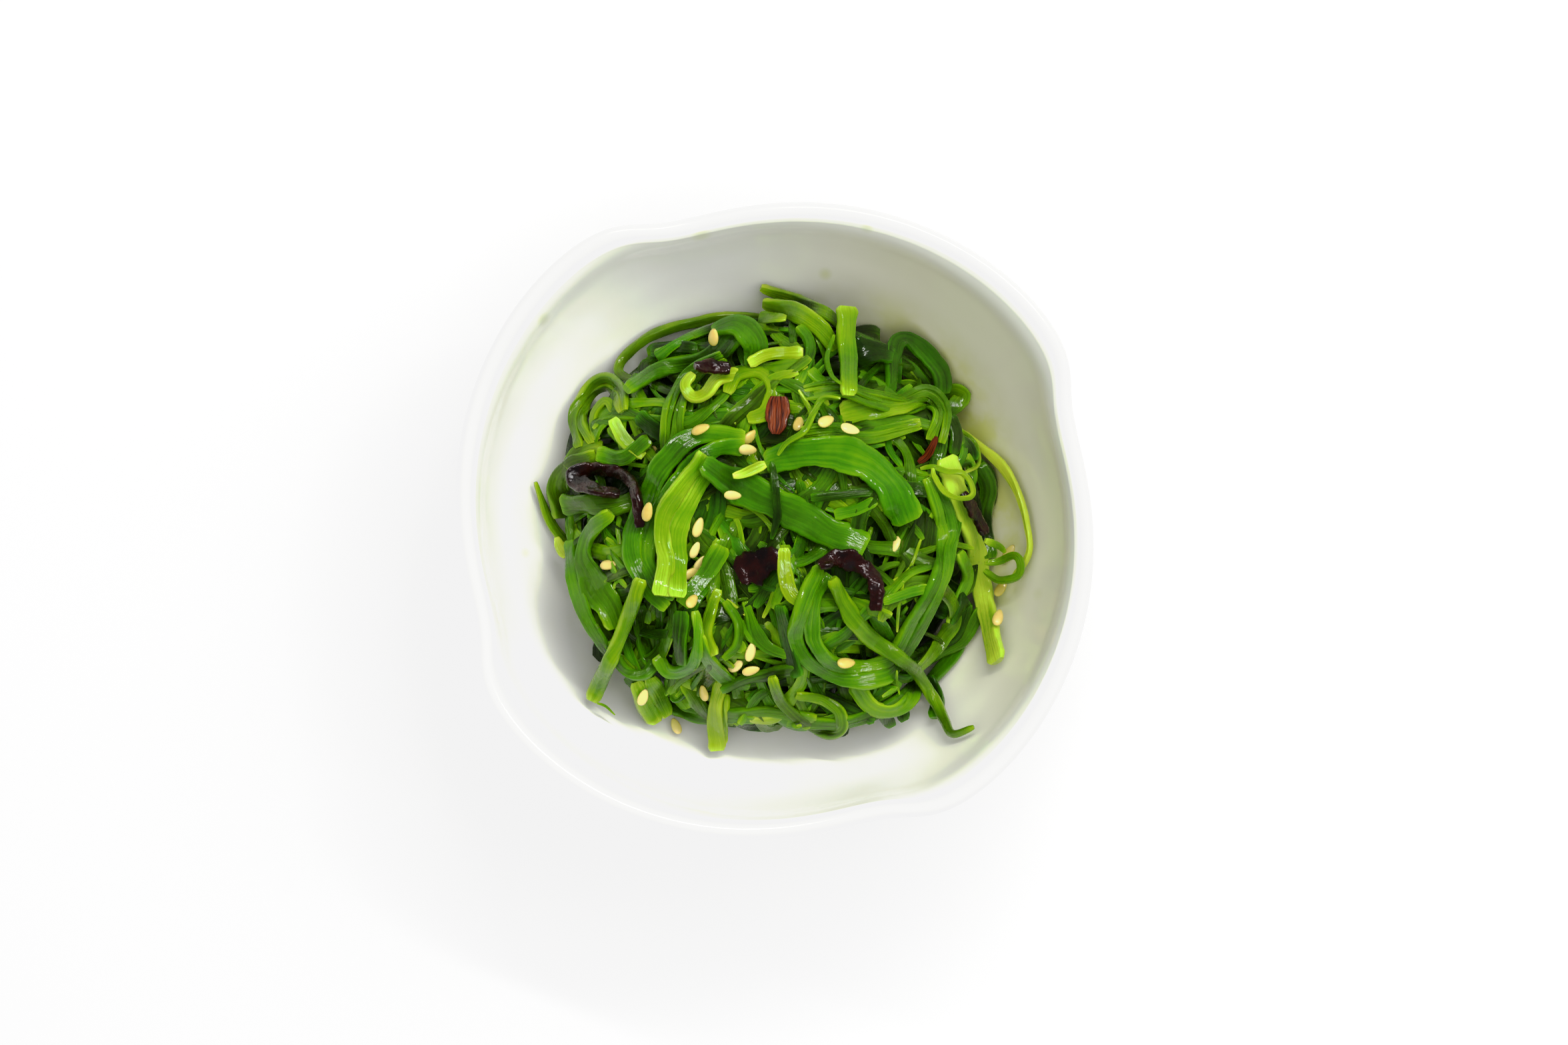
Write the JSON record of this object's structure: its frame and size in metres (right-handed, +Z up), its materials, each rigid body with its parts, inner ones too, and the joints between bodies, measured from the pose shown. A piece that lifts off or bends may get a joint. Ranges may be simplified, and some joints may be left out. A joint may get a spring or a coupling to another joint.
{
  "type": "wakame salad in a small bowl",
  "caption": "Small pinched porcelain side-dish bowl filled with a tangled heap of cut wakame strips, wood ear, chilli and sesame.",
  "frame": {"origin": "centre of the foot ring's underside, on the surface the bowl stands on", "axes": "+Z up out of the bowl, +Y towards the top of the picture, +X towards its right"},
  "size_m": [0.106, 0.106, 0.0449],
  "materials": {
    "porcelain": "gloss",
    "wakame_dark": "gloss",
    "wakame_mid": "gloss",
    "wakame_light": "gloss",
    "wakame_olive": "gloss",
    "wakame_yellow": "gloss",
    "wood_ear": "gloss",
    "chilli": "satin",
    "sesame": "satin"
  },
  "bodies": {
    "root": {"bowl": "porcelain", "chilli_flake": "chilli", "chilli_sliver": "chilli", "sesame_01": "sesame", "sesame_02": "sesame", "sesame_03": "sesame", "sesame_04": "sesame", "sesame_05": "sesame", "sesame_06": "sesame", "sesame_07": "sesame", "sesame_08": "sesame", "sesame_09": "sesame", "sesame_10": "sesame", "sesame_11": "sesame", "sesame_12": "sesame", "sesame_13": "sesame", "sesame_14": "sesame", "sesame_15": "sesame", "sesame_16": "sesame", "sesame_17": "sesame", "sesame_18": "sesame", "strip_arch_ribbon": "wakame_mid", "strip_belt_high": "wakame_light", "strip_belt_low": "wakame_light", "strip_big_loop": "wakame_light", "strip_bottom_loop": "wakame_olive", "strip_bottom_stem": "wakame_yellow", "strip_bright_fall": "wakame_yellow", "strip_crown_leaf": "wakame_mid", "strip_diagonal": "wakame_light", "strip_foot_leaf": "wakame_light", "strip_hanging_arc": "wakame_mid", "strip_left_bundle": "wakame_light", "strip_left_curl": "wakame_olive", "strip_left_leaf": "wakame_olive", "strip_left_ribbon": "wakame_mid", "strip_left_stem": "wakame_mid", "strip_left_stub": "wakame_olive", "strip_long_strip": "wakame_mid", "strip_lower_scoop": "wakame_light", "strip_right_fold": "wakame_dark", "strip_right_thread": "wakame_yellow", "strip_rolled_strip": "wakame_dark", "strip_shiny_arc": "wakame_light", "strip_shoulder_inner": "wakame_light", "strip_shoulder_outer": "wakame_mid", "strip_tail_stem": "wakame_olive", "strip_top_blade_broad": "wakame_light", "strip_top_blade_long": "wakame_olive", "strip_upright_stem": "wakame_light", "strip_wall_loop": "wakame_olive", "strip_wall_sprig": "wakame_light", "strip_yellow_curl": "wakame_yellow", "strip_yellow_strip": "wakame_yellow", "wakame_bed": "wakame_dark", "wood_ear_crumpled": "wood_ear", "wood_ear_flake": "wood_ear", "wood_ear_hooked": "wood_ear", "wood_ear_side": "wood_ear", "wood_ear_tuft": "wood_ear"}
  },
  "joints": []
}
